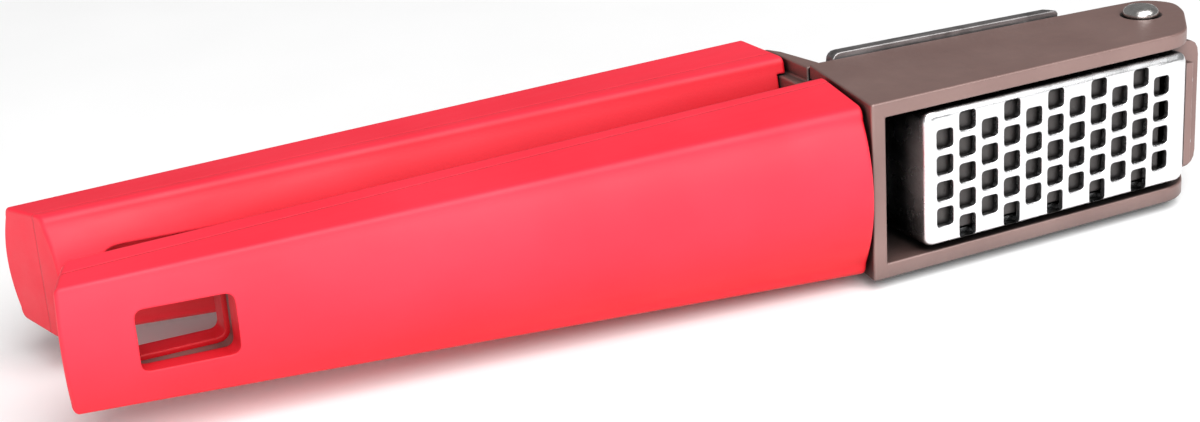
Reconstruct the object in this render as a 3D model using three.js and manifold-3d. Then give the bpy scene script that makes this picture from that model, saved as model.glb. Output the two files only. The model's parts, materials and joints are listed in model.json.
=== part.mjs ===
// Garlic press: a channel-shaped head on the front arm, a pressing lever on the rear arm,
// and a sieve basket between them, all three turning on one rivet.
// Millimetres. The handles run along -X, the sieve faces -Y, and the rivet stands along Z.
// The pieces are drawn about the rivet's axis with the middle plane at Z = 0, and the whole
// press is then raised so that the origin lies on that axis, at the rivet's flat lower end.
import * as THREE from 'three';
import { mergeVertices } from 'three/addons/utils/BufferGeometryUtils.js';
import Module from 'manifold-3d';

const wasm = await Module();
wasm.setup();

// ---- driving dimensions -------------------------------------------------------------------
const GAP = 0.3; // clearance between neighbouring pieces
const SINK = 0.5; // how far one shape runs into another that it is joined to
const FAR = 400; // longer than the whole object, for cutting tools

// Head of the front arm
const HEAD_HALF = 13.5; // half height over the flanges
const WALL = 2.4; // flange and end-wall thickness
const HEAD_LEFT = -58.4; // outside of the end wall, at the front edges of the flanges
const HEAD_SLANT = 0.17; // how far the end wall leans towards the rivet for each mm back
const HEAD_FRONT = -11.8; // front edges of the flanges
const HEAD_FRONT_RIGHT = -0.9; // where those edges end, short of the rivet
const HEAD_BACK_LEFT = 10.4; // back edge of the flanges at the end wall
const HEAD_BACK_PIN = 7.0; // back edge of the flanges at the rivet
const FLANGE_NOSE = [[6.8, -2.2, 1.8], [8.7, 2.2, 2.2], [5.9, 6.5, 2.2]]; // [x, y, setback] round the rivet
const END_WALL_BACK = 2.0; // the lever's neck passes behind the end wall
const CHANNEL_HALF = HEAD_HALF - WALL;
const LEDGE = { reach: 3.0, low: -4.2, high: -1.2 }; // shelf that carries the basket's rim
const SHOULDER = { left: -61.4, front: -8.8, back: END_WALL_BACK - 0.4, half: 11.2, setback: 0.8 };

// Hinge rivet
const RIVET_R = 2.2;
const RIVET_HEAD_R = 2.75;
const RIVET_SEAT_DEPTH = 0.5; // shallow counterbore that each rivet head sits in
const RIVET_PROUD = 1.5; // how far each rivet head stands out of its flange
// Each step of the dome is [share of the head's radius, distance below its top].
const RIVET_DOME = [[1, 1.1], [0.94, 0.65], [0.76, 0.25], [0.45, 0], [0, 0]];
const RIVET_BORE_R = RIVET_R + GAP;

// Sieve basket
const BASKET = {
  left: -49.5, right: -0.8, front: -12.1, rim: 0.3, half: 10.4, sheet: 1.0, setback: 1.2, corner: 1.8,
};
const BASKET_END = { y: -6.8, right: -5.5, left: -9.0 }; // the walls drop from left to right
const RIM_TAB = { left: -53.4, thick: 1.2, margin: 1.4 };
const HOLE = { size: 2.9, corner: 0.45, pitch: 4.0, columns: 11, first: -46.0 };
const HOLE_RUN = 0.6; // the lowest holes run this far onto the folded lower edge

// Hinge bracket of the basket
const BRACKET = {
  sheet: 1.4, right: 5.2, front: -7.5, tabFront: -11.2, corner: 2.6, earHalf: 10.4, earR: 4.2, tabHalf: 8.2,
};

// Lever
const LEVER_HALF = 10.6;
const LUG_R = 5.0;
const LUG_HALF = BRACKET.earHalf - BRACKET.sheet - GAP;
const BEAM_LOW = 1.2;
const BEAM_RIGHT = -8.8;
const BEAM_LEFT = -53.0;
const LEVER_NOSE = [[-13, BEAM_LOW + 0.8], [0, -2.0], [0, 3.4], [-13, 5.8]]; // joins the beam to the lug
const NECK_BACK = [[-52.6, 17.6, 3.0], [-55.4, 26.6, 1.5], [-58.2, 28.2]]; // [x, y, setback] up to the tang
const NECK_FRONT = [[-60.0, 21.6], [-56.4, 20.4], [-56.4, 7.4, 2.0]]; // and down again
const NECK_FLARE = [[-54.6, 10.9], [-51.6, 10.9], [-53.2, 20.4], [-54.6, 23.6]]; // wider, outside the grip
const NECK_FLARE_HALF = 12.9;
const PLATE = { left: -50.4, right: -9.8, thick: 2.0, half: 14.3, corner: 1.6, endSlope: 1.6 };

// Presser foot
const FOOT = {
  left: -46.7, right: -5.0, low: -10.7, high: -6.8, half: 9.0, corner: 1.6, pinX: -27, pinY: -2.6,
};
const FOOT_PIN_R = 1.6;
const FOOT_PIN_PROUD = 0.4;
const FOOT_LUG = { r: 3.4, thick: 2.8, rootHalf: 7.5, setback: 2.6 };
const TONGUE = { half: 3.0, rootHalf: 6.5, setback: 2.4 };

// Grips: [at the head, at the tail] for every value that tapers along the handle
const FRONT_GRIP = {
  x: [-58.5, -171.4], slant: [-HEAD_SLANT, -0.45],
  low: [-10.3, 1.8], lowHalf: [12.9, 8.8], lowCrown: [3.2, 0.9],
  high: [4.9, 9.3], highHalf: [13.4, 9.6], highCrown: [0.0, 0.0], corner: [1.8, 0.7],
};
const REAR_GRIP = {
  x: [-55.0, -166.8], slant: [0.0, 0.31],
  low: [16.4, 28.3], lowHalf: [13.3, 9.1], lowCrown: [1.6, 2.2],
  high: [29.6, 38.5], highHalf: [13.2, 8.5], highCrown: [3.0, 1.6], corner: [1.3, 1.4],
};
const END_STATIONS = [[0.99, 0], [0.997, 0.2], [1, 0.7]]; // [share of the length, inset] round the tail
const FRONT_PARTING = [1.6, 5.8]; // Y where the front grip's shell meets its cover
const REAR_PARTING = [19.6, 30.9]; // Y where the rear grip's cover meets its shell
const PARTING_MARGIN = 40; // how far the parting surface runs past both ends
const HANGING_HOLE = { left: -162.4, right: -149.6, half: 4.3, corner: 1.4 };
const TANG_HOLE_MARGIN = 0.5;
const SLOT = { left: -160.5, right: -138.5, half: 3.9, corner: 3.25 };

// Tangs: the bars inside the grips, and the pockets that lighten them
const FRONT_TANG = {
  x: [HEAD_LEFT + 0.4, -167.6], low: [-7.4, 3.6], high: FRONT_PARTING.map((y) => y - GAP), half: [9.8, 6.2],
};
const FRONT_POCKET = { x: [-66, -134], low: [-4.8, 2.3], high: [FAR, FAR], half: [7.6, 5.2] };
const REAR_TANG = {
  x: [-57.4, -163.6], low: REAR_PARTING.map((y) => y + GAP), high: [29.0, 35.0], half: [9.2, 6.2],
};
const REAR_POCKET = { x: [-66, -134], low: [-FAR, -FAR], high: [26.8, 30.8], half: [6.8, 4.8] };
const NECK_ROOM = { shellLeft: -60.6, coverLeft: -56.7, back: 28.9 }; // space in the rear grip for the neck

// Screws and small rivets
const SCREW = {
  r: 1.3, headR: 2.6, headH: 1.5, rimH: 0.6, length: 6.0, bossR: 3.0, slotWidth: 0.8, slotDepth: 0.7,
};
const FRONT_SCREWS_X = [-72, -106, -140];
const REAR_SCREWS_X = [-72, -104, -132];
const SCREW_ACCESS = 20; // how far the counterbore runs out past the head
const FRONT_SCREW_RECESS = 0.4;
const REAR_SCREW_RISE = 0.6; // out of the flat of the cover, still below its crown
const PLATE_RIVET = { r: 1.5, headR: 2.4, headH: 0.9, length: 4.5 };
const PLATE_RIVETS_X = [-44, -22];
const BASKET_RIVET = { y: -9.2, r: 0.8, headR: 1.5, headH: 0.6 };
const BASKET_RIVETS_Z = [-5, 5];

// ---- materials ----------------------------------------------------------------------------
const coat = () => new THREE.MeshStandardMaterial({ color: 0x8b7370, roughness: 0.42, metalness: 0.55 });
const steel = () => new THREE.MeshStandardMaterial({ color: 0xd8d8da, roughness: 0.22, metalness: 1.0 });
const brushed = () => new THREE.MeshStandardMaterial({ color: 0xa6a4a4, roughness: 0.38, metalness: 1.0 });
const redGrip = () => new THREE.MeshStandardMaterial({ color: 0xf0283c, roughness: 0.45, metalness: 0.0 });

// ---- solid helpers ------------------------------------------------------------------------
function solid(geometry) {
  const bare = geometry.clone();
  bare.deleteAttribute('normal');
  bare.deleteAttribute('uv');
  const merged = mergeVertices(bare, 1e-4);
  const mesh = new wasm.Mesh({
    numProp: 3,
    vertProperties: new Float32Array(merged.attributes.position.array),
    triVerts: new Uint32Array(merged.index.array),
  });
  return new wasm.Manifold(mesh);
}

function join(first, ...others) {
  return others.reduce((sum, other) => sum.add(other), first);
}

function cut(first, ...tools) {
  return tools.reduce((rest, tool) => rest.subtract(tool), first);
}

function addPiece(parent, name, manifold, material) {
  const { vertProperties, triVerts } = manifold.getMesh();
  const geometry = new THREE.BufferGeometry();
  geometry.setAttribute('position', new THREE.BufferAttribute(vertProperties, 3));
  geometry.setIndex(new THREE.BufferAttribute(triVerts, 1));
  const faceted = geometry.toNonIndexed();
  faceted.computeVertexNormals();
  const mesh = new THREE.Mesh(faceted, material);
  mesh.name = name;
  parent.add(mesh);
}

// An outline from [x, y, setback] points: each corner is rounded by a curve that starts and ends
// at its setback from the corner.
function outline(points) {
  const shape = new THREE.Shape();
  const count = points.length;
  const at = (i) => new THREE.Vector2(points[(i + count) % count][0], points[(i + count) % count][1]);
  points.forEach(([x, y, reach = 0], i) => {
    const corner = new THREE.Vector2(x, y);
    const toPrevious = at(i - 1).sub(corner).normalize();
    const toNext = at(i + 1).sub(corner).normalize();
    const start = corner.clone().addScaledVector(toPrevious, reach);
    const end = corner.clone().addScaledVector(toNext, reach);
    if (i === 0) shape.moveTo(start.x, start.y);
    else shape.lineTo(start.x, start.y);
    if (reach > 0) shape.quadraticCurveTo(corner.x, corner.y, end.x, end.y);
  });
  shape.closePath();
  return shape;
}

function rectangle(x0, y0, x1, y1, setback = 0) {
  return outline([[x0, y0, setback], [x1, y0, setback], [x1, y1, setback], [x0, y1, setback]]);
}

// A plan outline in XY, standing from z0 to z1.
function alongZ(shape, z0, z1, curveSegments = 5) {
  const geometry = new THREE.ExtrudeGeometry(shape, { depth: z1 - z0, bevelEnabled: false, curveSegments });
  geometry.translate(0, 0, z0);
  return solid(geometry);
}

// A front outline in XZ, running from y0 back to y1.
function alongY(shape, y0, y1, curveSegments = 4) {
  const geometry = new THREE.ExtrudeGeometry(shape, { depth: y1 - y0, bevelEnabled: false, curveSegments });
  geometry.rotateX(Math.PI / 2);
  geometry.translate(0, y1, 0);
  return solid(geometry);
}

function rodZ(x, y, radius, z0, z1, sides = 32) {
  const geometry = new THREE.CylinderGeometry(radius, radius, z1 - z0, sides);
  geometry.rotateX(Math.PI / 2);
  geometry.translate(x, y, (z0 + z1) / 2);
  return solid(geometry);
}

function rodY(x, z, radius, y0, y1, sides = 20) {
  const geometry = new THREE.CylinderGeometry(radius, radius, y1 - y0, sides);
  geometry.translate(x, (y0 + y1) / 2, z);
  return solid(geometry);
}

function rodX(y, z, radius, x0, x1, sides = 16) {
  const geometry = new THREE.CylinderGeometry(radius, radius, x1 - x0, sides);
  geometry.rotateZ(Math.PI / 2);
  geometry.translate((x0 + x1) / 2, y, z);
  return solid(geometry);
}

// A turned piece along Y from [radius, y] points that start and end on the axis.
function turned(profile, sides) {
  const points = profile.map(([radius, y]) => new THREE.Vector2(radius, y));
  return new THREE.LatheGeometry(points, sides);
}

// A closed solid through rings of the same number of points.
function loft(rings) {
  const size = rings[0].length;
  const positions = rings.flatMap((ring) => ring.flatMap((p) => [p.x, p.y, p.z]));
  const index = [];
  for (let r = 0; r + 1 < rings.length; r += 1) {
    for (let i = 0; i < size; i += 1) {
      const j = (i + 1) % size;
      const a = r * size + i;
      const b = r * size + j;
      index.push(a, b, a + size, b, b + size, a + size);
    }
  }
  for (let i = 1; i + 1 < size; i += 1) {
    index.push(0, i + 1, i);
    const last = (rings.length - 1) * size;
    index.push(last, last + i, last + i + 1);
  }
  const geometry = new THREE.BufferGeometry();
  geometry.setAttribute('position', new THREE.Float32BufferAttribute(positions, 3));
  geometry.setIndex(index);
  const whole = solid(geometry);
  if (whole.volume() > 0) return whole;
  geometry.setIndex(index.map((_, k) => index[3 * Math.floor(k / 3) + [0, 2, 1][k % 3]]));
  return solid(geometry);
}

const mix = ([head, tail], t) => head + (tail - head) * t;

const yOnLine = (xs, ys, x) => ys[0] + ((ys[1] - ys[0]) * (x - xs[0])) / (xs[1] - xs[0]);

// A four-sided bar along the handle between x[0] and x[1], each side tapering.
function taperedBar({ x, low, high, half }, grow = 0) {
  const ring = (t) => {
    const y0 = mix(low, t) - grow;
    const y1 = mix(high, t) + grow;
    const z = mix(half, t) + grow;
    const at = mix(x, t) + (t < 0.5 ? grow : -grow);
    return [[y0, -z], [y1, -z], [y1, z], [y0, z]].map(([y, zz]) => new THREE.Vector3(at, y, zz));
  };
  return loft([ring(0), ring(1)]);
}

// ---- grips --------------------------------------------------------------------------------
// One cross-section of a grip: flat top and bottom, crowned front and back, rounded corners.
function gripRing(grip, t, inset) {
  const low = mix(grip.low, t) + inset;
  const high = mix(grip.high, t) - inset;
  const lowHalf = mix(grip.lowHalf, t) - inset;
  const highHalf = mix(grip.highHalf, t) - inset;
  const setback = mix(grip.corner, t);
  const section = new THREE.Path();
  section.moveTo(low, -lowHalf + setback);
  section.quadraticCurveTo(low - 2 * mix(grip.lowCrown, t), 0, low, lowHalf - setback);
  section.quadraticCurveTo(low, lowHalf, low + setback, lowHalf);
  section.lineTo(high - setback, highHalf);
  section.quadraticCurveTo(high, highHalf, high, highHalf - setback);
  section.quadraticCurveTo(high + 2 * mix(grip.highCrown, t), 0, high, -highHalf + setback);
  section.quadraticCurveTo(high, -highHalf, high - setback, -highHalf);
  section.lineTo(low + setback, -lowHalf);
  section.quadraticCurveTo(low, -lowHalf, low, -lowHalf + setback);
  const points = section.getPoints(6);
  points.pop();
  const x = mix(grip.x, t);
  const lean = mix(grip.slant, t);
  return points.map((p) => new THREE.Vector3(x - lean * (p.x - low), p.x, p.y));
}

// The whole grip, through sections along the handle.
function gripBody(grip) {
  const stations = [[0, 0.4], [0.006, 0], [0.35, 0], [0.7, 0], ...END_STATIONS];
  return loft(stations.map(([t, inset]) => gripRing(grip, t, inset)));
}

// Everything on the far side of a parting surface that runs straight along the handle.
function beyondParting(grip, parting, side) {
  const x0 = grip.x[1] - PARTING_MARGIN;
  const x1 = grip.x[0] + PARTING_MARGIN;
  const y0 = yOnLine(grip.x, parting, x0);
  const y1 = yOnLine(grip.x, parting, x1);
  return alongZ(outline([[x0, y0], [x1, y1], [x1, side * FAR], [x0, side * FAR]]), -FAR, FAR);
}

function hangingHole(grow, y0, y1) {
  const { left, right, half, corner } = HANGING_HOLE;
  return alongY(rectangle(left - grow, -half - grow, right + grow, half + grow, corner + grow), y0, y1);
}

// A round post that a screw runs into, just inside the faces of its tang.
function screwBoss(tang, x) {
  return rodY(x, 0, SCREW.bossR, yOnLine(tang.x, tang.low, x) + SINK, yOnLine(tang.x, tang.high, x) - SINK);
}

// A screw along Y whose head lies at yHead and whose shank runs on in the given direction.
function screw(x, yHead, direction) {
  const { r, headR, headH, rimH, length, slotWidth, slotDepth } = SCREW;
  const profile = [[0, 0], [headR, 0], [headR, rimH], [r, headH], [r, length - r], [0, length]];
  const geometry = turned(profile, 20);
  if (direction < 0) geometry.rotateX(Math.PI);
  geometry.translate(x, yHead, 0);
  const slot = new THREE.BoxGeometry(FAR, 2 * slotDepth, slotWidth);
  slot.translate(0, yHead, 0);
  return cut(solid(geometry), solid(slot));
}

// The bore and counterbore for such a screw, open beyond its head.
function screwClearance(x, yHead, direction) {
  const { r, headR, headH, length } = SCREW;
  const inner = yHead + direction * (length + GAP);
  const seat = yHead + direction * (headH + GAP);
  const out = yHead - direction * SCREW_ACCESS;
  return join(
    rodY(x, 0, r + GAP, Math.min(yHead, inner), Math.max(yHead, inner)),
    rodY(x, 0, headR + GAP, Math.min(out, seat), Math.max(out, seat)),
  );
}

// ---- front arm ----------------------------------------------------------------------------
// X on the outside of the leaning end wall, or parallel to it.
const endWallX = (y, offset = 0) => HEAD_LEFT + HEAD_SLANT * (y - HEAD_FRONT) + offset;

function flangeOutline() {
  return outline([
    [HEAD_LEFT, HEAD_FRONT, 0.6], [HEAD_FRONT_RIGHT, HEAD_FRONT, 3.5], ...FLANGE_NOSE,
    [0, HEAD_BACK_PIN, 2.0], [endWallX(HEAD_BACK_LEFT), HEAD_BACK_LEFT, 0.6],
  ]);
}

function basketLedge() {
  const root = LEDGE.low - LEDGE.reach;
  const shape = outline([
    [endWallX(root, WALL - SINK), root], [endWallX(root, WALL), root],
    [endWallX(LEDGE.low, WALL + LEDGE.reach), LEDGE.low],
    [endWallX(LEDGE.high, WALL + LEDGE.reach), LEDGE.high],
    [endWallX(LEDGE.high, WALL - SINK), LEDGE.high],
  ]);
  return alongZ(shape, -CHANNEL_HALF - SINK, CHANNEL_HALF + SINK);
}

// The block between the end wall and the tang.
function shoulder() {
  const { left, front, back, half, setback } = SHOULDER;
  const shape = outline([
    [left, front, setback], [endWallX(front, SINK), front],
    [endWallX(back, SINK), back], [left, back, setback],
  ]);
  return alongZ(shape, -half, half);
}

function frontArm() {
  const head = alongZ(flangeOutline(), -HEAD_HALF, HEAD_HALF);
  const channelShape = outline([
    [endWallX(-FAR, WALL), -FAR], [FAR, -FAR], [FAR, FAR], [endWallX(FAR, WALL), FAR],
  ]);
  const channel = alongZ(channelShape, -CHANNEL_HALF, CHANNEL_HALF);
  const neckWay = alongZ(rectangle(-FAR, END_WALL_BACK, FAR, FAR), -CHANNEL_HALF, CHANNEL_HALF);
  const tang = cut(taperedBar(FRONT_TANG), taperedBar(FRONT_POCKET));
  const bosses = FRONT_SCREWS_X.slice(0, 2).map((x) => screwBoss(FRONT_TANG, x));
  const rivetSeat = HEAD_HALF - RIVET_SEAT_DEPTH;
  return cut(
    join(cut(head, channel, neckWay), basketLedge(), shoulder(), tang, ...bosses),
    hangingHole(TANG_HOLE_MARGIN, -FAR, FAR),
    rodZ(0, 0, RIVET_BORE_R, -FAR, FAR),
    rodZ(0, 0, RIVET_HEAD_R + GAP, rivetSeat, FAR),
    rodZ(0, 0, RIVET_HEAD_R + GAP, -FAR, -rivetSeat),
    ...FRONT_SCREWS_X.map((x) => screwClearance(x, frontScrewHead(x), -1)),
  );
}

const frontScrewHead = (x) => yOnLine(FRONT_GRIP.x, FRONT_GRIP.high, x) - FRONT_SCREW_RECESS;
const rearScrewHead = (x) => yOnLine(REAR_GRIP.x, REAR_GRIP.low, x) - REAR_SCREW_RISE;

function frontGripShell() {
  const room = rectangle(SHOULDER.left - GAP, SHOULDER.front - GAP, FAR, FAR);
  return cut(
    gripBody(FRONT_GRIP),
    beyondParting(FRONT_GRIP, FRONT_PARTING, 1),
    taperedBar(FRONT_TANG, GAP),
    alongZ(room, -SHOULDER.half - GAP, SHOULDER.half + GAP),
    hangingHole(0, -FAR, FAR),
    ...FRONT_SCREWS_X.map((x) => screwClearance(x, frontScrewHead(x), -1)),
  );
}

function frontGripCover() {
  return cut(
    gripBody(FRONT_GRIP),
    beyondParting(FRONT_GRIP, FRONT_PARTING.map((y) => y + GAP), -1),
    taperedBar(FRONT_TANG, GAP),
    hangingHole(0, -FAR, FAR),
    ...FRONT_SCREWS_X.map((x) => screwClearance(x, frontScrewHead(x), -1)),
  );
}

// Two low domes with flat ends on one shank.
function rivet() {
  const seat = HEAD_HALF - RIVET_SEAT_DEPTH + GAP;
  const top = HEAD_HALF + RIVET_PROUD;
  const dome = RIVET_DOME.map(([share, below]) => [RIVET_HEAD_R * share, top - below]);
  const half = [[RIVET_R, seat], [RIVET_HEAD_R, seat], ...dome];
  const lower = half.map(([radius, y]) => [radius, -y]).reverse();
  const geometry = turned([...lower, ...half], 32);
  geometry.rotateX(Math.PI / 2);
  return solid(geometry);
}

// ---- rear arm -----------------------------------------------------------------------------
const plateFrontY = (x) => yOnLine([endWallX(HEAD_BACK_LEFT), 0], [HEAD_BACK_LEFT, HEAD_BACK_PIN], x) + GAP;

function leverBeam() {
  const top = (x) => plateFrontY(x) - GAP;
  const beamTopLeft = PLATE.left - GAP;
  const shape = outline([
    [BEAM_RIGHT, BEAM_LOW], [BEAM_RIGHT, 6.2],
    [PLATE.right, top(PLATE.right)], [beamTopLeft, top(PLATE.left)],
    [beamTopLeft - GAP, 13.6, 1.0], ...NECK_BACK, ...NECK_FRONT,
    [BEAM_LEFT, 3.6, 1.0], [BEAM_LEFT, BEAM_LOW],
  ]);
  return alongZ(shape, -LEVER_HALF, LEVER_HALF);
}

// The middle lug that carries the presser foot.
function tongue() {
  const { half, rootHalf, setback } = TONGUE;
  const tip = FOOT.pinY - FOOT_LUG.r;
  const shape = outline([
    [FOOT.pinX - rootHalf, BEAM_LOW + SINK], [FOOT.pinX - FOOT_LUG.r, tip, setback],
    [FOOT.pinX + FOOT_LUG.r, tip, setback], [FOOT.pinX + rootHalf, BEAM_LOW + SINK],
  ]);
  return alongZ(shape, -half, half);
}

function plateRivetBore(x, y0) {
  return rodY(x, 0, PLATE_RIVET.r + GAP, y0, FAR);
}

function rearArm() {
  const nose = alongZ(outline(LEVER_NOSE), -LUG_HALF, LUG_HALF);
  const lug = rodZ(0, 0, LUG_R, -LUG_HALF, LUG_HALF, 40);
  const neckFlare = alongZ(outline(NECK_FLARE), -NECK_FLARE_HALF, NECK_FLARE_HALF);
  const tang = cut(taperedBar(REAR_TANG), taperedBar(REAR_POCKET));
  const bosses = REAR_SCREWS_X.map((x) => screwBoss(REAR_TANG, x));
  return cut(
    join(leverBeam(), neckFlare, nose, lug, tongue(), tang, ...bosses),
    rodZ(0, 0, RIVET_BORE_R, -FAR, FAR),
    rodZ(FOOT.pinX, FOOT.pinY, FOOT_PIN_R + GAP, -FAR, FAR, 24),
    ...REAR_SCREWS_X.map((x) => screwClearance(x, rearScrewHead(x), 1)),
    ...PLATE_RIVETS_X.map((x) => plateRivetBore(x, plateFrontY(x) - PLATE_RIVET.length - GAP)),
  );
}

function backPlate() {
  const { left, right, thick, half, corner, endSlope } = PLATE;
  const shape = outline([
    [left, plateFrontY(left)], [right, plateFrontY(right)],
    [right - endSlope, plateFrontY(right) + thick], [left, plateFrontY(left) + thick],
  ]);
  const trim = alongY(rectangle(left, -half, right + SINK, half, corner), -FAR, FAR);
  return cut(
    alongZ(shape, -half, half).intersect(trim),
    ...PLATE_RIVETS_X.map((x) => plateRivetBore(x, -FAR)),
  );
}

function plateRivet(x) {
  const { r, headR, headH, length } = PLATE_RIVET;
  const seat = plateFrontY(x) + PLATE.thick + GAP;
  const inner = plateFrontY(x) - length;
  const geometry = turned([
    [0, inner], [r, inner], [r, seat], [headR, seat],
    [headR * 0.9, seat + headH * 0.6], [headR * 0.5, seat + headH],
    [0, seat + headH],
  ], 20);
  geometry.translate(x, 0, 0);
  return solid(geometry);
}

function neckRoom(left, back) {
  const shape = rectangle(left, -FAR, FAR, back);
  return alongZ(shape, -LEVER_HALF - GAP, LEVER_HALF + GAP);
}

function rearGripShell() {
  return cut(
    gripBody(REAR_GRIP),
    beyondParting(REAR_GRIP, REAR_PARTING.map((y) => y + GAP), -1),
    taperedBar(REAR_TANG, GAP),
    neckRoom(NECK_ROOM.shellLeft, NECK_ROOM.back),
  );
}

function rearGripCover() {
  const { left, right, half, corner } = SLOT;
  return cut(
    gripBody(REAR_GRIP),
    beyondParting(REAR_GRIP, REAR_PARTING, 1),
    neckRoom(NECK_ROOM.coverLeft, FAR),
    alongY(rectangle(left, -half, right, half, corner), -FAR, FAR, 8),
    ...REAR_SCREWS_X.map((x) => screwClearance(x, rearScrewHead(x), 1)),
  );
}

// ---- presser foot -------------------------------------------------------------------------
function presserFoot() {
  const { left, right, low, high, half, corner, pinX, pinY } = FOOT;
  const { r, thick, rootHalf, setback } = FOOT_LUG;
  const block = alongY(rectangle(left, -half, right, half, corner), low, high);
  const lugShape = outline([
    [pinX - rootHalf, high - SINK], [pinX + rootHalf, high - SINK],
    [pinX + r, pinY + r, setback], [pinX - r, pinY + r, setback],
  ]);
  const inner = TONGUE.half + GAP;
  const outer = inner + thick;
  return cut(
    join(block, alongZ(lugShape, inner, outer), alongZ(lugShape, -outer, -inner)),
    rodZ(pinX, pinY, r + 2 * GAP, -inner, inner),
    rodZ(pinX, pinY, FOOT_PIN_R + GAP, -FAR, FAR, 24),
  );
}

function footPin() {
  const end = TONGUE.half + GAP + FOOT_LUG.thick + FOOT_PIN_PROUD;
  return rodZ(FOOT.pinX, FOOT.pinY, FOOT_PIN_R, -end, end, 24);
}

// ---- sieve basket -------------------------------------------------------------------------
function basketSide(left, right, front, back) {
  const { setback } = BASKET;
  return outline([
    [left, front, setback], [right, front, setback], [right, BASKET_END.y],
    [BASKET_END.right, BASKET_END.y], [BASKET_END.left, back], [left, back],
  ]);
}

// The square holes, in columns of four and five by turns.
function sieveHoles() {
  const { size, corner, pitch, columns, first } = HOLE;
  const side = size / 2;
  const holes = [];
  for (let column = 0; column < columns; column += 1) {
    const rows = column % 2 === 0 ? 4 : 5;
    for (let row = 0; row < rows; row += 1) {
      const x = first + column * pitch;
      const z = (row - (rows - 1) / 2) * pitch;
      const run = rows === 5 && row === 0 ? HOLE_RUN : 0;
      const shape = rectangle(x - side, z - side - run, x + side, z + side, corner);
      holes.push(alongY(shape, BASKET.front - 1, BASKET.front + BASKET.sheet + SINK, 1));
    }
  }
  return holes;
}

function sieveBasket() {
  const { left, right, front, rim, half, sheet, corner } = BASKET;
  const outside = alongZ(basketSide(left, right, front, rim), -half, half);
  const faceTrim = alongY(rectangle(left, -half, right, half, corner), -FAR, FAR);
  const insideShape = basketSide(left + sheet, right - sheet, front + sheet, FAR);
  const inside = alongZ(insideShape, -half + sheet, half - sheet);
  const endShape = rectangle(BASKET_END.right, BASKET_END.y - SINK, right - sheet, FAR);
  const overEnd = alongZ(endShape, -half + sheet, half - sheet);
  const tabShape = rectangle(RIM_TAB.left, rim - RIM_TAB.thick, left + SINK, rim);
  const tab = alongZ(tabShape, -half + RIM_TAB.margin, half - RIM_TAB.margin);
  return cut(
    join(outside.intersect(faceTrim), tab),
    inside,
    overEnd,
    ...sieveHoles(),
    ...BASKET_RIVETS_Z.map((z) => rodX(BASKET_RIVET.y, z, BASKET_RIVET.r + GAP, right - 2 * sheet, FAR)),
  );
}

// The folded strip that hangs the basket on the rivet: a tab, a rounded front and two ears.
function basketBracket() {
  const { sheet, right, front, tabFront, earHalf, earR, tabHalf, corner } = BRACKET;
  const left = BASKET.right + GAP;
  const tab = alongZ(rectangle(left, tabFront, left + sheet, front + sheet), -tabHalf, tabHalf);
  const faceShape = outline([
    [left, -earHalf], [right, -earHalf, corner], [right, earHalf, corner], [left, earHalf],
  ]);
  const face = alongY(faceShape, front, front + sheet);
  const earFront = front + GAP;
  const earShape = outline([
    [left, earFront], [right - corner, earFront], [earR, 0], [-earR, 0], [left, -earR],
  ]);
  const ears = join(rodZ(0, 0, earR, -earHalf, earHalf, 32), alongZ(earShape, -earHalf, earHalf));
  const between = alongZ(rectangle(-FAR, front + sheet, FAR, FAR), -earHalf + sheet, earHalf - sheet);
  return cut(
    join(tab, face, cut(ears, between)),
    rodZ(0, 0, RIVET_BORE_R, -FAR, FAR),
    ...BASKET_RIVETS_Z.map((z) => rodX(BASKET_RIVET.y, z, BASKET_RIVET.r + GAP, -FAR, FAR)),
  );
}

// A small double-headed rivet along X through the basket's end wall and the bracket's tab.
function basketRivet(z) {
  const { y, r, headR, headH } = BASKET_RIVET;
  const inner = BASKET.right - BASKET.sheet - GAP;
  const outer = BASKET.right + GAP + BRACKET.sheet + GAP;
  const geometry = turned([
    [0, inner - headH], [headR * 0.7, inner - headH], [headR, inner], [r, inner],
    [r, outer], [headR, outer], [headR * 0.7, outer + headH], [0, outer + headH],
  ], 16);
  geometry.rotateZ(-Math.PI / 2);
  geometry.translate(0, y, z);
  return solid(geometry);
}

// ---- the press ----------------------------------------------------------------------------
const press = new THREE.Group();
press.position.z = HEAD_HALF + RIVET_PROUD;

const front = new THREE.Group();
addPiece(front, 'front_arm', frontArm(), coat());
addPiece(front, 'front_grip_shell', frontGripShell(), redGrip());
addPiece(front, 'front_grip_cover', frontGripCover(), redGrip());
FRONT_SCREWS_X.forEach((x, i) => {
  addPiece(front, `front_grip_screw_${i + 1}`, screw(x, frontScrewHead(x), -1), steel());
});
addPiece(front, 'hinge_rivet', rivet(), steel());
press.add(front);

const rear = new THREE.Group();
addPiece(rear, 'rear_arm', rearArm(), coat());
addPiece(rear, 'back_plate', backPlate(), brushed());
PLATE_RIVETS_X.forEach((x, i) => addPiece(rear, `back_plate_rivet_${i + 1}`, plateRivet(x), steel()));
addPiece(rear, 'rear_grip_shell', rearGripShell(), redGrip());
addPiece(rear, 'rear_grip_cover', rearGripCover(), redGrip());
REAR_SCREWS_X.forEach((x, i) => {
  addPiece(rear, `rear_grip_screw_${i + 1}`, screw(x, rearScrewHead(x), 1), steel());
});
addPiece(rear, 'foot_pin', footPin(), steel());
addPiece(rear, 'presser_foot', presserFoot(), coat());
press.add(rear);

const basket = new THREE.Group();
addPiece(basket, 'sieve_basket', sieveBasket(), steel());
addPiece(basket, 'basket_bracket', basketBracket(), coat());
BASKET_RIVETS_Z.forEach((z, i) => addPiece(basket, `basket_rivet_${i + 1}`, basketRivet(z), steel()));
press.add(basket);

export default press;
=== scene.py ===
"""Looks of the garlic press: softened castings, moulded red grips and a perforated steel basket.

Sizes are in millimetres about the middle of the hinge rivet. place() turns them into the frame's metres.
"""

import json
import math

import bmesh
import bpy
from mathutils import Matrix, Vector

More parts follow.
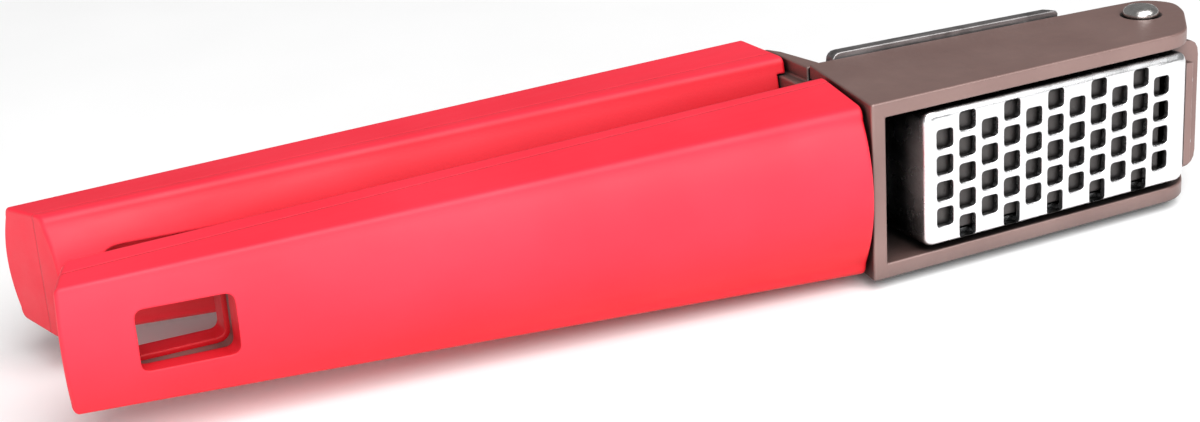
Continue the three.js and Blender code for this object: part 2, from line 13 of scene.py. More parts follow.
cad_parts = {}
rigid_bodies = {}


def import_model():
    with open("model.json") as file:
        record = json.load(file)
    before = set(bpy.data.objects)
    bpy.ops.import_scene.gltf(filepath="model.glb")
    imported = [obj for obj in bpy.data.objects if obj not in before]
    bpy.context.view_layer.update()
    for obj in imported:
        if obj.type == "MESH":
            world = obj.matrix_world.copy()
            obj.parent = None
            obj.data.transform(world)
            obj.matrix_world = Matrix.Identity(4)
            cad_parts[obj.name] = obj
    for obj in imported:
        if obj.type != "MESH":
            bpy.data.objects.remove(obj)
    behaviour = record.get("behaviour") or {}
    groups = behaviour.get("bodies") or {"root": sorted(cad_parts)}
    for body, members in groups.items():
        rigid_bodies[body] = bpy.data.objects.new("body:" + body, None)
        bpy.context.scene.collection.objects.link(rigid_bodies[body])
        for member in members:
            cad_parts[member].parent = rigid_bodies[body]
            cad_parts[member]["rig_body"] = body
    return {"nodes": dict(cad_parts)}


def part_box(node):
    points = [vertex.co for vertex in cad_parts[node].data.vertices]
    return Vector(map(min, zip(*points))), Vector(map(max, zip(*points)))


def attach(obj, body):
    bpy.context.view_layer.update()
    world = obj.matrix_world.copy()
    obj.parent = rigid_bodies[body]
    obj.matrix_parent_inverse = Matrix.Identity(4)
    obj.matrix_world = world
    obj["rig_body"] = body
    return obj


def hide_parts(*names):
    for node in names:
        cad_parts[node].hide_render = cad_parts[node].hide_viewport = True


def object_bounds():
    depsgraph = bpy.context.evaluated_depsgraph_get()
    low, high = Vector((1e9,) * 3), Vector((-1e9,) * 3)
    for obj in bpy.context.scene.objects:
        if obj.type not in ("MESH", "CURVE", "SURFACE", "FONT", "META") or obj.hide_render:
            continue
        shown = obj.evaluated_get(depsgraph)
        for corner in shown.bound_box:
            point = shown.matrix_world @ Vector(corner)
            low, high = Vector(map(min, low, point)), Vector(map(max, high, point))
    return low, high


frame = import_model()
bounds_at_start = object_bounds()

MM = 0.001
FAR = 400  # longer than the press, for cutting tools
PIN_LOW, PIN_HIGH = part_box("hinge_rivet")
PIN = (PIN_LOW + PIN_HIGH) / 2  # middle of the hinge rivet


def place(x, y, z):
    return PIN + Vector((x, y, z)) * MM


def local_box(node):
    """A node's box in millimetres about the middle of the rivet."""
    return [(corner - PIN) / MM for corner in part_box(node)]


# ---- camera and light -------------------------------------------------------------------------
SENSOR = 36.0
LENS = 63.27
AIM = (-81.4, 30.1, -10.0)  # the point the camera looks at
AZIMUTH = 25.86  # degrees to the left of straight ahead
ELEVATION = 20.68
ROLL = -3.88
DISTANCE = 330.0
CLIP_START = 0.01  # metres
WORLD_STRENGTH = 0.22
# each softbox: direction from the press, then distance and size in metres, then watts
KEY_LIGHT = ((0.15, -1.0, 1.25), 1.8, 1.9, 46.0)
FILL_LIGHT = ((-0.5, -1.0, 0.30), 1.5, 1.5, 20.0)
FLOOR_HALF = 6.0  # metres

# ---- grips: (at the head, at the tail) for every value that tapers along the handle -----------
FRONT_GRIP = {
    "x": (-58.5, -171.4), "slant": (-0.17, -0.45),
    "low": (-10.3, 1.8), "low_half": (12.9, 8.8), "low_crown": (3.2, 0.9),
    "high": (4.9, 9.3), "high_half": (13.4, 9.6), "high_crown": (0.0, 0.0),
    "corner": (1.8, 0.7),
}
REAR_GRIP = {
    "x": (-55.0, -166.8), "slant": (0.0, 0.31),
    "low": (16.4, 28.3), "low_half": (13.3, 9.1), "low_crown": (1.6, 2.2),
    "high": (29.6, 38.5), "high_half": (13.2, 8.5), "high_crown": (3.0, 1.6),
    "corner": (1.3, 1.4),
}
FRONT_PARTING = (1.6, 5.8)  # Y of the surface between a grip's two halves
REAR_PARTING = (19.6, 30.9)
PARTING_PAST_HEAD, PARTING_PAST_TAIL = 20, 40  # how far the parting surface runs on past a grip
SEAM = 0.03  # the line between the two halves of a grip
FRONT_TANG = {
    "x": (-58.0, -167.6), "low": (-7.4, 3.6), "high": (1.3, 5.5), "half": (9.8, 6.2),
}
REAR_TANG = {
    "x": (-57.4, -163.6), "low": (19.9, 31.2), "high": (29.0, 35.0), "half": (9.2, 6.2),
}
TANG_GAP = 0.3
TANG_PAST_HEAD = 6.0  # how far a tang's pocket runs on towards the head
HANGING_HOLE = (-162.4, -149.6, 4.3, 1.4)  # left, right, half height, corner
SLOT = (-160.5, -138.5, 3.9, 3.6)  # left, right, half height, corner
SHOULDER_ROOM = (-61.7, -9.1, 11.5)  # left, front and half height of the room for the head
NECK_ROOM_BACK = 28.9
NECK_ROOM_HALF = 10.9
NECK_ROOM_LEFT = {"shell": -60.6, "cover": -56.7}
SCREWS_PER_GRIP = 3
SCREW_HEAD_R = 2.9
FRONT_SCREW_DEPTH = 2.6  # Y where the counterbores in the front cover start
REAR_SCREW_DEPTH = 19.0  # Y where the counterbores in the rear cover end
END_RADIUS = 0.7
END_STEPS = 5  # rings in the rounding of an end, a fold or a rim
CROWN_STEPS = 24
CORNER_STEPS = 6

# ---- sieve basket: a tray pressed from sheet, open at the back --------------------------------
(RIM_TAB_LEFT, BASKET_FRONT, _), (BASKET_RIGHT, BASKET_RIM, BASKET_HALF) = local_box("sieve_basket")
RIM_TAB_REACH = 3.9  # how far the tab stands out of the basket's left wall
RIM_TAB_THICK = 1.2
RIM_TAB_HALF = 9.0
BASKET_LEFT = RIM_TAB_LEFT + RIM_TAB_REACH
SHEET = 1.0
FOLD_RADIUS, SMALLEST_FOLD = 1.2, 0.3
TRAY_CORNER, SMALLEST_TRAY_CORNER = 1.8, 0.5
LOW_END = ((-9.0, 0.3), (-5.5, -6.8))  # the walls drop from the rim to the low right end
HOLE_SIZE, HOLE_CORNER, HOLE_PITCH = 2.9, 0.6, 4.0
HOLE_COLUMNS, FIRST_HOLE_X = 11, -46.0
HOLE_RIM_RADIUS = 0.22
LOW_HOLE_RUN = 0.6  # the lowest holes run this far onto the folded edge
BASKET_RIVET = (-9.2, 5.0, 1.1)  # Y, distance from the middle, bore radius
END_WALL_ROOM = 3  # how far inside the basket a rivet's bore starts
OVERCUT = 1  # how far a hole's cutter stands out of the sheet on each side

# ---- clean meshes -----------------------------------------------------------------------------
SPECK = 0.0008  # corners of a cut piece nearer than this are one corner
CAD_SPECK = 0.002  # the same for a copied casting
FLAT_ANGLE = 0.3  # degrees that neighbouring faces may turn and still be one flat face


def mix(pair, t):
    return pair[0] + (pair[1] - pair[0]) * t


# ---- mesh helpers -----------------------------------------------------------------------------
def mesh_object(name, bm):
    bmesh.ops.recalc_face_normals(bm, faces=bm.faces)
    mesh = bpy.data.meshes.new(name)
    bm.to_mesh(mesh)
    bm.free()
    obj = bpy.data.objects.new(name, mesh)
    bpy.context.scene.collection.objects.link(obj)
    return obj


def curve_points(start, control, end, steps):
    """Points along a quadratic curve, without its last point."""
    points = []
    for i in range(steps):
        t = i / steps
        a, b, c = (1 - t) ** 2, 2 * t * (1 - t), t ** 2
        points.append(tuple(a * p + b * q + c * r for p, q, r in zip(start, control, end)))
    return points


def quarter_arc(radius, steps):
    """Points (inset, rise) that round off an edge, from the end face to the side."""
    turns = [math.pi / 2 * i / steps for i in range(steps + 1)]
    return [(radius * (1 - math.sin(t)), radius * (1 - math.cos(t))) for t in turns]


def circle(x, y, radius, sides):
    angles = [2 * math.pi * i / sides for i in range(sides)]
    return [(x + radius * math.cos(a), y + radius * math.sin(a)) for a in angles]


def rectangle(x0, y0, x1, y1, corner=0.0, steps=6):
    """A rectangle with rounded corners, as 2-D points."""
    if corner == 0:
        return [(x0, y0), (x1, y0), (x1, y1), (x0, y1)]
    turns = [
        ((x0, y0), (0, 1), (1, 0)), ((x1, y0), (-1, 0), (0, 1)),
        ((x1, y1), (0, -1), (-1, 0)), ((x0, y1), (1, 0), (0, -1)),
    ]
    points = []
    for (x, y), come, go in turns:
        start = (x + come[0] * corner, y + come[1] * corner)
        end = (x + go[0] * corner, y + go[1] * corner)
        points += curve_points(start, (x, y), end, steps) + [end]
    return points


def loft(name, rings):
    """A closed object through rings of the same number of points."""
    bm = bmesh.new()
    verts = [[bm.verts.new(p) for p in ring] for ring in rings]
    size = len(rings[0])
    for a, b in zip(verts, verts[1:]):
        for i in range(size):
            j = (i + 1) % size
            bm.faces.new((a[i], a[j], b[j], b[i]))
    bm.faces.new(verts[0])
    bm.faces.new(list(reversed(verts[-1])))
    return mesh_object(name, bm)


def joined(name, pieces):
    """One object from several closed ones that don't touch."""
    bm = bmesh.new()
    for piece in pieces:
        bm.from_mesh(piece.data)
        bpy.data.objects.remove(piece)
    return mesh_object(name, bm)


def prism_y(name, outline, y0, y1):
    """An outline in XZ, running from y0 back to y1."""
    return loft(name, [[place(x, y, z) for x, z in outline] for y in (y0, y1)])


def prism_z(name, outline, z0, z1):
    """A plan outline in XY, standing from z0 to z1."""
    return loft(name, [[place(x, y, z) for x, y in outline] for z in (z0, z1)])


def combine(obj, operation, *others):
    """Joins the others to obj or takes them away from it, and removes them."""
    for other in others:
        modifier = obj.modifiers.new("combine", "BOOLEAN")
        modifier.operation = operation
        modifier.solver = "EXACT"
        modifier.object = other
        apply_modifiers(obj)
        bpy.data.objects.remove(other)
    return obj


def cut(obj, *cutters):
    return without_specks(combine(obj, "DIFFERENCE", *cutters))


def without_specks(obj):
    """Merges corners that nearly coincide, and removes triangles that lie back to back."""
    bm = bmesh.new()
    bm.from_mesh(obj.data)
    bmesh.ops.remove_doubles(bm, verts=bm.verts, dist=SPECK * MM)
    bmesh.ops.triangulate(bm, faces=bm.faces)
    bmesh.ops.dissolve_degenerate(bm, edges=bm.edges, dist=SPECK * MM)
    by_corners = {}
    for face in bm.faces:
        by_corners.setdefault(frozenset(face.verts), []).append(face)
    doubled = [face for faces in by_corners.values() if len(faces) > 1 for face in faces]
    bmesh.ops.delete(bm, geom=doubled, context="FACES")
    bm.to_mesh(obj.data)
    bm.free()
    return obj


def apply_modifiers(obj):
    graph = bpy.context.evaluated_depsgraph_get()
    mesh = bpy.data.meshes.new_from_object(obj.evaluated_get(graph))
    obj.modifiers.clear()
    obj.data = mesh


def soften(obj, width, smallest_angle, segments=3):
    """Rounds every edge that turns by more than smallest_angle degrees."""
    bm = bmesh.new()
    bm.from_mesh(obj.data)
    bmesh.ops.remove_doubles(bm, verts=bm.verts, dist=CAD_SPECK * MM)
    flat = math.radians(FLAT_ANGLE)
    bmesh.ops.dissolve_limit(bm, angle_limit=flat, verts=bm.verts, edges=bm.edges)
    turned = math.radians(smallest_angle)
    sharp = [e for e in bm.edges if e.is_manifold and e.calc_face_angle() > turned]
    bmesh.ops.bevel(
        bm, geom=sharp, offset=width * MM, offset_type="OFFSET", segments=segments, profile=0.5,
        affect="EDGES", clamp_overlap=False,
    )
    bm.to_mesh(obj.data)
    bm.free()
    return obj


def shade_smooth(obj, sharp_angle=40):
    """Smooth shading between sharp edges, with large faces kept flat."""
    for face in obj.data.polygons:
        face.use_smooth = True
    obj.data.set_sharp_from_angle(angle=math.radians(sharp_angle))
    weighted = obj.modifiers.new("weighted", "WEIGHTED_NORMAL")
    weighted.keep_sharp = True
    weighted.weight = 80


def show(obj, material, body, slot, *nodes):
    """Gives a finished piece its shading, its material, its body and the CAD nodes it stands for."""
    shade_smooth(obj)
    obj.data.materials.clear()
    obj.data.materials.append(material)
    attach(obj, body)
    if nodes:
        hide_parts(*nodes)
    return obj


def body_of(node):
    return frame["nodes"][node]["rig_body"]


def refined(node, material, slot, width, smallest_angle=28, segments=3):
    """A copy of a CAD node with rounded edges, shown in its place."""
    obj = bpy.data.objects.new(f"{node}_look", frame["nodes"][node].data.copy())
    bpy.context.scene.collection.objects.link(obj)
    soften(obj, width, smallest_angle, segments)
    return show(obj, material, body_of(node), slot, node)


# ---- materials --------------------------------------------------------------------------------
class Shader:
    """A Principled material with the few nodes that every finish here is made from."""

    def __init__(self, name, metallic=0.0, ior=1.5):
        self.material = bpy.data.materials.new(name)
        self.material.use_nodes = True
        self.tree = self.material.node_tree
        self.surface = self.tree.nodes["Principled BSDF"]
        self.surface.inputs["Metallic"].default_value = metallic
        self.surface.inputs["IOR"].default_value = ior
        self.place = self.tree.nodes.new("ShaderNodeTexCoord").outputs["Object"]

    def link(self, output, target):
        self.tree.links.new(output, target)

    def noise(self, scale, detail=4.0, stretch=(1, 1, 1)):
        """Noise with features of 1/scale metres, stretched along any axis with a small factor."""
        mapping = self.tree.nodes.new("ShaderNodeMapping")
        mapping.inputs["Scale"].default_value = stretch
        self.link(self.place, mapping.inputs["Vector"])
        texture = self.tree.nodes.new("ShaderNodeTexNoise")
        texture.inputs["Scale"].default_value = scale
        texture.inputs["Detail"].default_value = detail
        self.link(mapping.outputs["Vector"], texture.inputs["Vector"])
        return texture.outputs["Fac"]

    def rings(self, scale):
        """Fine turning marks round the Z axis."""
        texture = self.tree.nodes.new("ShaderNodeTexWave")
        texture.wave_type = "RINGS"
        texture.rings_direction = "Z"
        texture.inputs["Scale"].default_value = scale
        texture.inputs["Distortion"].default_value = 1.5
        self.link(self.place, texture.inputs["Vector"])
        return texture.outputs["Fac"]

    def ramp(self, factor, *stops):
        """Maps a factor to colours; each stop is (position, colour)."""
        node = self.tree.nodes.new("ShaderNodeValToRGB")
        ramp = node.color_ramp
        while len(ramp.elements) < len(stops):
            ramp.elements.new(0.5)
        for element, (position, colour) in zip(ramp.elements, stops):
            element.position = position
            element.color = (*colour, 1)
        self.link(factor, node.inputs["Fac"])
        return node.outputs["Color"]

    def spread(self, factor, low, high):
        """Maps a noise factor onto the range low to high."""
        node = self.tree.nodes.new("ShaderNodeMapRange")
        node.inputs["From Min"].default_value = 0.3
        node.inputs["From Max"].default_value = 0.7
        node.inputs["To Min"].default_value = low
        node.inputs["To Max"].default_value = high
        self.link(factor, node.inputs["Value"])
        return node.outputs["Result"]

    def blend(self, factor, first, second):
        node = self.tree.nodes.new("ShaderNodeMix")
        node.data_type = "RGBA"
        self.link(factor, node.inputs["Factor"])
        self.link(first, node.inputs["A"])
        self.link(second, node.inputs["B"])
        return node.outputs["Result"]

    def edges(self, radius, low, high):
        """1 along outside and inside edges and 0 on open faces, broken up by noise; used to lighten
        edges as wear and as painted highlight.
        """
        bevel = self.tree.nodes.new("ShaderNodeBevel")
        bevel.samples = 4
        bevel.inputs["Radius"].default_value = radius * MM
        geometry = self.tree.nodes.new("ShaderNodeNewGeometry")
        turn = self.tree.nodes.new("ShaderNodeVectorMath")
        turn.operation = "DISTANCE"
        self.link(bevel.outputs["Normal"], turn.inputs[0])
        self.link(geometry.outputs["Normal"], turn.inputs[1])
        edge_wear_and_highlight = self.tree.nodes.new("ShaderNodeMath")
        edge_wear_and_highlight.operation = "MULTIPLY"
        self.link(turn.outputs["Value"], edge_wear_and_highlight.inputs[0])
        self.link(self.spread(self.noise(700), 0.3, 1.4), edge_wear_and_highlight.inputs[1])
        limits = self.tree.nodes.new("ShaderNodeMapRange")
        limits.inputs["From Min"].default_value = low
        limits.inputs["From Max"].default_value = high
        self.link(edge_wear_and_highlight.outputs["Value"], limits.inputs["Value"])
        return limits.outputs["Result"]

    def openness(self, reach):
        """1 in the open, falling towards 0 where walls within reach close a point in."""
        node = self.tree.nodes.new("ShaderNodeAmbientOcclusion")
        node.samples = 6
        node.inputs["Distance"].default_value = reach * MM
        return node.outputs["AO"]

    def painted_shade(self, openness, colour, share, low=0.30, high=0.72):
        """Painted shade: the colour falls to a share of itself in each channel where openness is low,
        darkening hollows and gaps between parts as if shade fell there.
        """
        shade_ramp = self.ramp(openness, (low, share), (high, (1, 1, 1)))
        node = self.tree.nodes.new("ShaderNodeMix")
        node.data_type = "RGBA"
        node.blend_type = "MULTIPLY"
        node.inputs["Factor"].default_value = 1.0
        self.link(colour, node.inputs["A"])
        self.link(shade_ramp, node.inputs["B"])
        return node.outputs["Result"]

    def bump(self, height, strength, depth, edge_radius=0.0):
        """Fine relief; edge_radius also rounds off the shading of sharp edges."""
        node = self.tree.nodes.new("ShaderNodeBump")
        node.inputs["Strength"].default_value = strength
        node.inputs["Distance"].default_value = depth * MM
        self.link(height, node.inputs["Height"])
        if edge_radius > 0:
            bevel = self.tree.nodes.new("ShaderNodeBevel")
            bevel.samples = 6
            bevel.inputs["Radius"].default_value = edge_radius * MM
            self.link(bevel.outputs["Normal"], node.inputs["Normal"])
        self.link(node.outputs["Normal"], self.surface.inputs["Normal"])

    def colour(self, output):
        self.link(output, self.surface.inputs["Base Color"])
        return self

    def roughness(self, output):
        self.link(output, self.surface.inputs["Roughness"])
        return self


def red_plastic():
    """Satin moulded plastic with a fine spark-eroded grain and faint cloudiness, edges lighter as
    rubbing and painted highlight, and painted shade where parts close it in.
    """
    s = Shader("grip_red")
    s.surface.inputs["Specular IOR Level"].default_value = 0.38
    cloud = s.ramp(s.noise(45, 3), (0.32, (0.82, 0.020, 0.044)), (0.68, (0.88, 0.028, 0.056)))
    # lighter red along edges: partly rubbed wear, partly painted highlight
    rubbed_and_highlit = s.ramp(s.noise(160, 5), (0.35, (0.86, 0.024, 0.048)), (0.75, (0.92, 0.048, 0.078)))
    openness = s.openness(22.0)
    plain = s.blend(s.edges(0.5, 0.25, 0.9), cloud, rubbed_and_highlit)
    # painted shade: the red darkens where the other grip and the head close it in
    s.colour(s.painted_shade(openness, plain, (0.62, 0.06, 0.12), high=0.95))
    s.roughness(s.spread(s.noise(320, 5, (0.25, 1, 1)), 0.44, 0.56))
    s.bump(s.noise(3600, 2), 0.16, 0.05, edge_radius=0.45)
    return s.material


def coated_casting(name, low, high):
    """Satin coat over a die casting, brighter on its edges where the coat is thinner and as painted
    highlight, darkened in its hollows as painted shade.
    """
    s = Shader(name, metallic=0.35, ior=2.0)
    coat = s.ramp(s.noise(70, 4), (0.30, low), (0.70, high))
    bare_and_highlit = s.ramp(s.noise(900, 3), (0.35, (0.32, 0.26, 0.24)), (0.65, (0.48, 0.42, 0.40)))
    # lighter bare metal along edges: partly worn coat, partly painted highlight
    plain = s.blend(s.edges(0.4, 0.35, 1.0), coat, bare_and_highlit)
    # painted shade: the coat darkens almost to black in hollows and gaps
    s.colour(s.painted_shade(s.openness(8.0), plain, (0.03, 0.03, 0.03), high=0.85))
    s.roughness(s.spread(s.noise(500, 5), 0.36, 0.50))
    s.bump(s.noise(1700, 3), 0.22, 0.06)
    return s.material


def bright_steel():
    """Stainless sheet polished along its length."""
    s = Shader("basket_steel", metallic=1.0)
    brushed = s.noise(2600, 3, (0.03, 1, 1))
    polish = s.ramp(brushed, (0.30, (0.86, 0.86, 0.87)), (0.70, (0.96, 0.96, 0.97)))
    # painted shade: the steel darkens nearly to black in the holes and inside the tray
    s.colour(s.painted_shade(s.openness(7.0), polish, (0.01, 0.01, 0.01)))
    s.roughness(s.spread(s.noise(240, 5), 0.20, 0.34))
    s.bump(brushed, 0.10, 0.02)
    return s.material


def dull_steel():
    """Cold-rolled strip with drawing lines and a few dark marks."""
    s = Shader("plate_steel", metallic=0.9)
    lines = s.noise(1900, 4, (0.05, 1, 1))
    marks = s.ramp(s.noise(420, 6), (0.38, (0.10, 0.09, 0.09)), (0.56, (0.34, 0.32, 0.32)))
    streaks = s.ramp(lines, (0.30, (0.20, 0.19, 0.19)), (0.70, (0.40, 0.38, 0.38)))
    s.colour(s.blend(s.spread(s.noise(150, 4), 0.1, 0.6), streaks, marks))
    s.roughness(s.spread(lines, 0.30, 0.48))
    s.bump(lines, 0.16, 0.03)
    return s.material


def turned_steel():
    """Bright turned pins and screw heads."""
    s = Shader("rivet_steel", metallic=1.0)
    bright = s.ramp(s.noise(900, 4), (0.30, (0.56, 0.54, 0.52)), (0.70, (0.80, 0.78, 0.76)))
    # painted shade: darker under heads and in the recesses round the pins
    s.colour(s.painted_shade(s.openness(2.5), bright, (0.15, 0.12, 0.10)))
    s.roughness(s.spread(s.noise(1500, 3), 0.16, 0.30))
    s.bump(s.rings(1400), 0.06, 0.02)
    return s.material


def pale_floor():
    """Matt, nearly white, with a faint cloudiness."""
    s = Shader("floor")
    s.colour(s.ramp(s.noise(6, 3), (0.3, (0.94, 0.94, 0.94)), (0.7, (0.96, 0.96, 0.96))))
    s.roughness(s.spread(s.noise(40, 3), 0.60, 0.70))
    return s.material


# ---- grips ------------------------------------------------------------------------------------
def grip_ring(grip, t, inset, shift):
    """One cross-section: flat top and bottom, crowned front and back, rounded corners."""
    low, high = mix(grip["low"], t) + inset, mix(grip["high"], t) - inset
    low_half, high_half = mix(grip["low_half"], t) - inset, mix(grip["high_half"], t) - inset
    r = mix(grip["corner"], t)
    low_peak = low - 2 * mix(grip["low_crown"], t)
    high_peak = high + 2 * mix(grip["high_crown"], t)
    low_ends = (low, -low_half + r), (low, low_half - r)
    high_ends = (high, high_half - r), (high, -high_half + r)
    section = (
        curve_points(low_ends[0], (low_peak, 0), low_ends[1], CROWN_STEPS)
        + curve_points(low_ends[1], (low, low_half), (low + r, low_half), CORNER_STEPS)
        + [(low + r, low_half)]
        + curve_points((high - r, high_half), (high, high_half), high_ends[0], CORNER_STEPS)
        + curve_points(high_ends[0], (high_peak, 0), high_ends[1], CROWN_STEPS)
        + curve_points(high_ends[1], (high, -high_half), (high - r, -high_half), CORNER_STEPS)
        + [(high - r, -high_half)]
        + curve_points((low + r, -low_half), (low, -low_half), low_ends[0], CORNER_STEPS)
    )
    lean = mix(grip["slant"], t)
    x = mix(grip["x"], t) + shift
    return [place(x - lean * (y - low), y, z) for y, z in section]


def grip_body(name, grip, stations=18):
    """The whole grip with both ends rounded over."""
    end = quarter_arc(END_RADIUS, END_STEPS)[:-1]
    rings = [grip_ring(grip, 0, inset, -rise) for inset, rise in end]
    for i in range(stations + 1):
        shift = (1 - 2 * i / stations) * -END_RADIUS
        rings.append(grip_ring(grip, i / stations, 0, shift))
    rings += [grip_ring(grip, 1, inset, rise) for inset, rise in reversed(end)]
    return loft(name, rings)


def parting_tool(grip, parting, side):
    """Everything beyond the parting surface, towards +Y for side 1 and -Y for side -1."""
    head, tail = grip["x"]
    slope = (parting[1] - parting[0]) / (tail - head)
    ends = [
        (x, parting[0] + slope * (x - head) - side * SEAM / 2)
        for x in (tail - PARTING_PAST_TAIL, head + PARTING_PAST_HEAD)
    ]
    outline = ends + [(ends[1][0], side * FAR), (ends[0][0], side * FAR)]
    return prism_z("parting_tool", outline, -FAR, FAR)


def tang_tool(tang):
    """The pocket that the arm's tang lies in."""
    rings = []
    for t, grow_x in ((0, TANG_PAST_HEAD), (1, -TANG_GAP)):
        y0, y1 = mix(tang["low"], t) - TANG_GAP, mix(tang["high"], t) + TANG_GAP
        half = mix(tang["half"], t) + TANG_GAP
        x = mix(tang["x"], t) + grow_x
        rings.append([place(x, y, z) for y, z in rectangle(y0, -half, y1, half)])
    return loft("tang_tool", rings)


def hole_tool():
    left, right, half, corner = HANGING_HOLE
    return prism_y("hole_tool", rectangle(left, -half, right, half, corner), -FAR, FAR)


def screw_tools(grip, y0, y1):
    """Counterbores over the screws of a grip."""
    tools = []
    for i in range(SCREWS_PER_GRIP):
        low, high = local_box(f"{grip}_screw_{i + 1}")
        bore = circle((low.x + high.x) / 2, 0, SCREW_HEAD_R, sides=40)
        tools.append(prism_y("screw_tool", bore, y0, y1))
    return tools


def front_grip(red):
    """The front grip's shell and its cover, with the hanging hole through both."""
    left, front, half = SHOULDER_ROOM
    shell = cut(
        grip_body("front_grip_shell_look", FRONT_GRIP),
        parting_tool(FRONT_GRIP, FRONT_PARTING, 1), tang_tool(FRONT_TANG),
        prism_z("shoulder_tool", rectangle(left, front, FAR, FAR), -half, half), hole_tool(),
    )
    cover = cut(
        grip_body("front_grip_cover_look", FRONT_GRIP),
        parting_tool(FRONT_GRIP, FRONT_PARTING, -1), tang_tool(FRONT_TANG), hole_tool(),
        *screw_tools("front_grip", FRONT_SCREW_DEPTH, FAR),
    )
    show(shell, red, "front", "grip_red", "front_grip_shell")
    show(cover, red, "front", "grip_red", "front_grip_cover")


def neck_tool(half_of_grip, back):
    """The room in the head end of the rear grip for the lever's neck."""
    outline = rectangle(NECK_ROOM_LEFT[half_of_grip], -FAR, FAR, back)
    return prism_z("neck_tool", outline, -NECK_ROOM_HALF, NECK_ROOM_HALF)


def rear_grip(red):
    """The rear grip's shell and its cover, which has the long slot."""
    left, right, half, corner = SLOT
    shell = cut(
        grip_body("rear_grip_shell_look", REAR_GRIP),
        parting_tool(REAR_GRIP, REAR_PARTING, -1), tang_tool(REAR_TANG),
        neck_tool("shell", NECK_ROOM_BACK),
    )
    cover = cut(
        grip_body("rear_grip_cover_look", REAR_GRIP),
        parting_tool(REAR_GRIP, REAR_PARTING, 1), tang_tool(REAR_TANG), neck_tool("cover", FAR),
        prism_y("slot_tool", rectangle(left, -half, right, half, corner, 10), -FAR, FAR),
        *screw_tools("rear_grip", -FAR, REAR_SCREW_DEPTH),
    )
    show(shell, red, "rear", "grip_red", "rear_grip_shell")
    show(cover, red, "rear", "grip_red", "rear_grip_cover")


# ---- sieve basket -----------------------------------------------------------------------------
def tray(name, inset, back):
    """A rounded tray shape, inset from the outside of the basket on every side but the back."""
    fold = max(FOLD_RADIUS - inset, SMALLEST_FOLD)
    corner = max(TRAY_CORNER - inset, SMALLEST_TRAY_CORNER)
    levels = [
        (inset + shrink, BASKET_FRONT + inset + rise)
        for shrink, rise in quarter_arc(fold, END_STEPS)
    ]
    levels.append((inset, back))
    rings = []
    for shrink, y in levels:
        low = BASKET_LEFT + shrink, -BASKET_HALF + shrink
        high = BASKET_RIGHT - shrink, BASKET_HALF - shrink
        rings.append([place(x, y, z) for x, z in rectangle(*low, *high, corner)])
    return loft(name, rings)


def sieve_hole(x, z, run):
    """A cutter for one square hole, flared where it meets the front of the sheet."""
    side = HOLE_SIZE / 2
    rim = quarter_arc(HOLE_RIM_RADIUS, END_STEPS - 1)
    levels = [(HOLE_RIM_RADIUS, BASKET_FRONT - OVERCUT)]
    levels += [(grow, BASKET_FRONT + rise) for grow, rise in rim]
    levels.append((0.0, BASKET_FRONT + SHEET + OVERCUT))
    rings = []
    for grow, y in levels:
        low = x - side - grow, z - side - run - grow
        high = x + side + grow, z + side + grow
        corner = HOLE_CORNER + grow
        rings.append([place(px, y, pz) for px, pz in rectangle(*low, *high, corner, steps=4)])
    return loft("sieve_hole", rings)


def sieve_holes():
    """Columns of four and five holes by turns."""
    holes = []
    for column in range(HOLE_COLUMNS):
        rows = 4 + column % 2
        for row in range(rows):
            run = LOW_HOLE_RUN if rows == 5 and row == 0 else 0.0
            x = FIRST_HOLE_X + column * HOLE_PITCH
            holes.append(sieve_hole(x, (row - (rows - 1) / 2) * HOLE_PITCH, run))
    return joined("sieve_holes", holes)


def rivet_holes():
    """Bores through the end wall for the rivets of the bracket."""
    y, z, radius = BASKET_RIVET
    start = BASKET_RIGHT - END_WALL_ROOM
    bores = []
    for middle in (-z, z):
        bore = circle(y, middle, radius, sides=24)
        rings = [[place(x, cy, cz) for cy, cz in bore] for x in (start, FAR)]
        bores.append(loft("rivet_hole", rings))
    return joined("rivet_holes", bores)


def sieve_basket(steel):
    """The tray with its rim tab, its dropped low end and all its holes."""
    (slope_left, rim), (slope_right, low) = LOW_END
    dropped = [(slope_left, FAR), (slope_left, rim), (slope_right, low), (FAR, low), (FAR, FAR)]
    tab = rectangle(RIM_TAB_LEFT, -RIM_TAB_HALF, BASKET_LEFT + SHEET / 2, RIM_TAB_HALF)
    basket = combine(
        tray("sieve_basket_look", 0.0, BASKET_RIM), "UNION",
        prism_y("rim_tab", tab, BASKET_RIM - RIM_TAB_THICK, BASKET_RIM),
    )
    cut(
        basket,
        tray("cavity", SHEET, FAR), prism_z("low_end", dropped, -FAR, FAR),
        sieve_holes(), rivet_holes(),
    )
    show(basket, steel, "basket", "basket_steel", "sieve_basket")


# ---- the rest of the press --------------------------------------------------------------------
def castings():
    """The two arms and the bracket in one coat, and the foot in a darker copy of that coat as painted
    shade.
    """
    coat = coated_casting("arm_coat", (0.205, 0.114, 0.100), (0.250, 0.148, 0.130))
    for node in ("front_arm", "rear_arm"):
        refined(node, coat, "arm_coat", 0.35)
    refined("basket_bracket", coat, "arm_coat", 0.12, segments=2)
    # the foot's coat is the arm coat darkened as painted shade, for the shade the foot lies in behind
    # the basket
    foot = coated_casting("foot_coat_shaded", (0.050, 0.040, 0.038), (0.075, 0.060, 0.056))
    refined("presser_foot", foot, "arm_coat", 0.35)


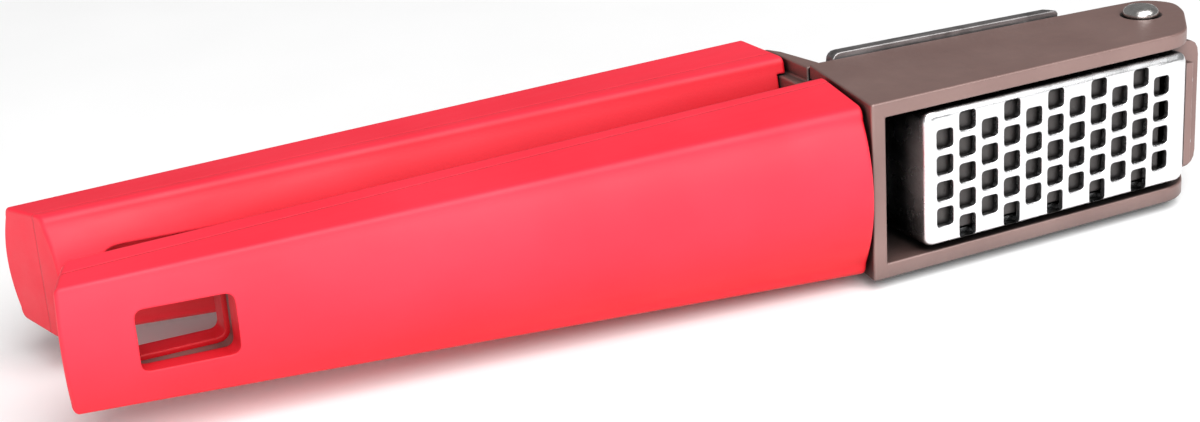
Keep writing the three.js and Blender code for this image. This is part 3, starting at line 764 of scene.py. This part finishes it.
def pins_and_screws(steel):
    named = ("screw", "rivet", "foot_pin")
    for node in sorted(n for n in frame["nodes"] if any(word in n for word in named)):
        refined(node, steel, "rivet_steel", 0.08, smallest_angle=35, segments=2)


# ---- stage ------------------------------------------------------------------------------------
def add_floor(material):
    bm = bmesh.new()
    bmesh.ops.create_grid(bm, x_segments=8, y_segments=8, size=FLOOR_HALF)
    floor = mesh_object("floor", bm)
    floor.data.materials.append(material)


def add_softbox(name, direction, distance, size, power):
    """A square soft light that faces the middle of the press."""
    lo, hi = bounds_at_start
    centre = (lo + hi) / 2
    light = bpy.data.lights.new(name, "AREA")
    light.size = size
    light.energy = power
    obj = bpy.data.objects.new(name, light)
    away = Vector(direction).normalized()
    obj.location = centre + away * distance
    obj.rotation_euler = (-away).to_track_quat("-Z", "Y").to_euler()
    bpy.context.scene.collection.objects.link(obj)


def add_world(strength):
    world = bpy.data.worlds.new("studio")
    world.use_nodes = True
    background = world.node_tree.nodes["Background"]
    background.inputs["Color"].default_value = (1.0, 1.0, 1.0, 1)
    background.inputs["Strength"].default_value = strength
    bpy.context.scene.world = world


def add_camera():
    data = bpy.data.cameras.new("camera")
    data.sensor_width = SENSOR
    data.lens = LENS
    data.clip_start = CLIP_START
    camera = bpy.data.objects.new("camera", data)
    a, e = math.radians(AZIMUTH), math.radians(ELEVATION)
    forward = Vector((math.sin(a) * math.cos(e), math.cos(a) * math.cos(e), -math.sin(e)))
    roll = Matrix.Rotation(math.radians(ROLL), 3, "Z").to_quaternion()
    camera.rotation_mode = "QUATERNION"
    camera.rotation_quaternion = forward.to_track_quat("-Z", "Y") @ roll
    camera.location = place(*AIM) - forward * DISTANCE * MM
    bpy.context.scene.collection.objects.link(camera)
    bpy.context.scene.camera = camera


def build():
    red = red_plastic()
    front_grip(red)
    rear_grip(red)
    castings()
    sieve_basket(bright_steel())
    refined("back_plate", dull_steel(), "plate_steel", 0.25)
    pins_and_screws(turned_steel())
    add_floor(pale_floor())
    add_world(WORLD_STRENGTH)
    add_softbox("key", *KEY_LIGHT)
    add_softbox("fill", *FILL_LIGHT)
    add_camera()
    bpy.context.scene.view_settings.view_transform = "Standard"


build()
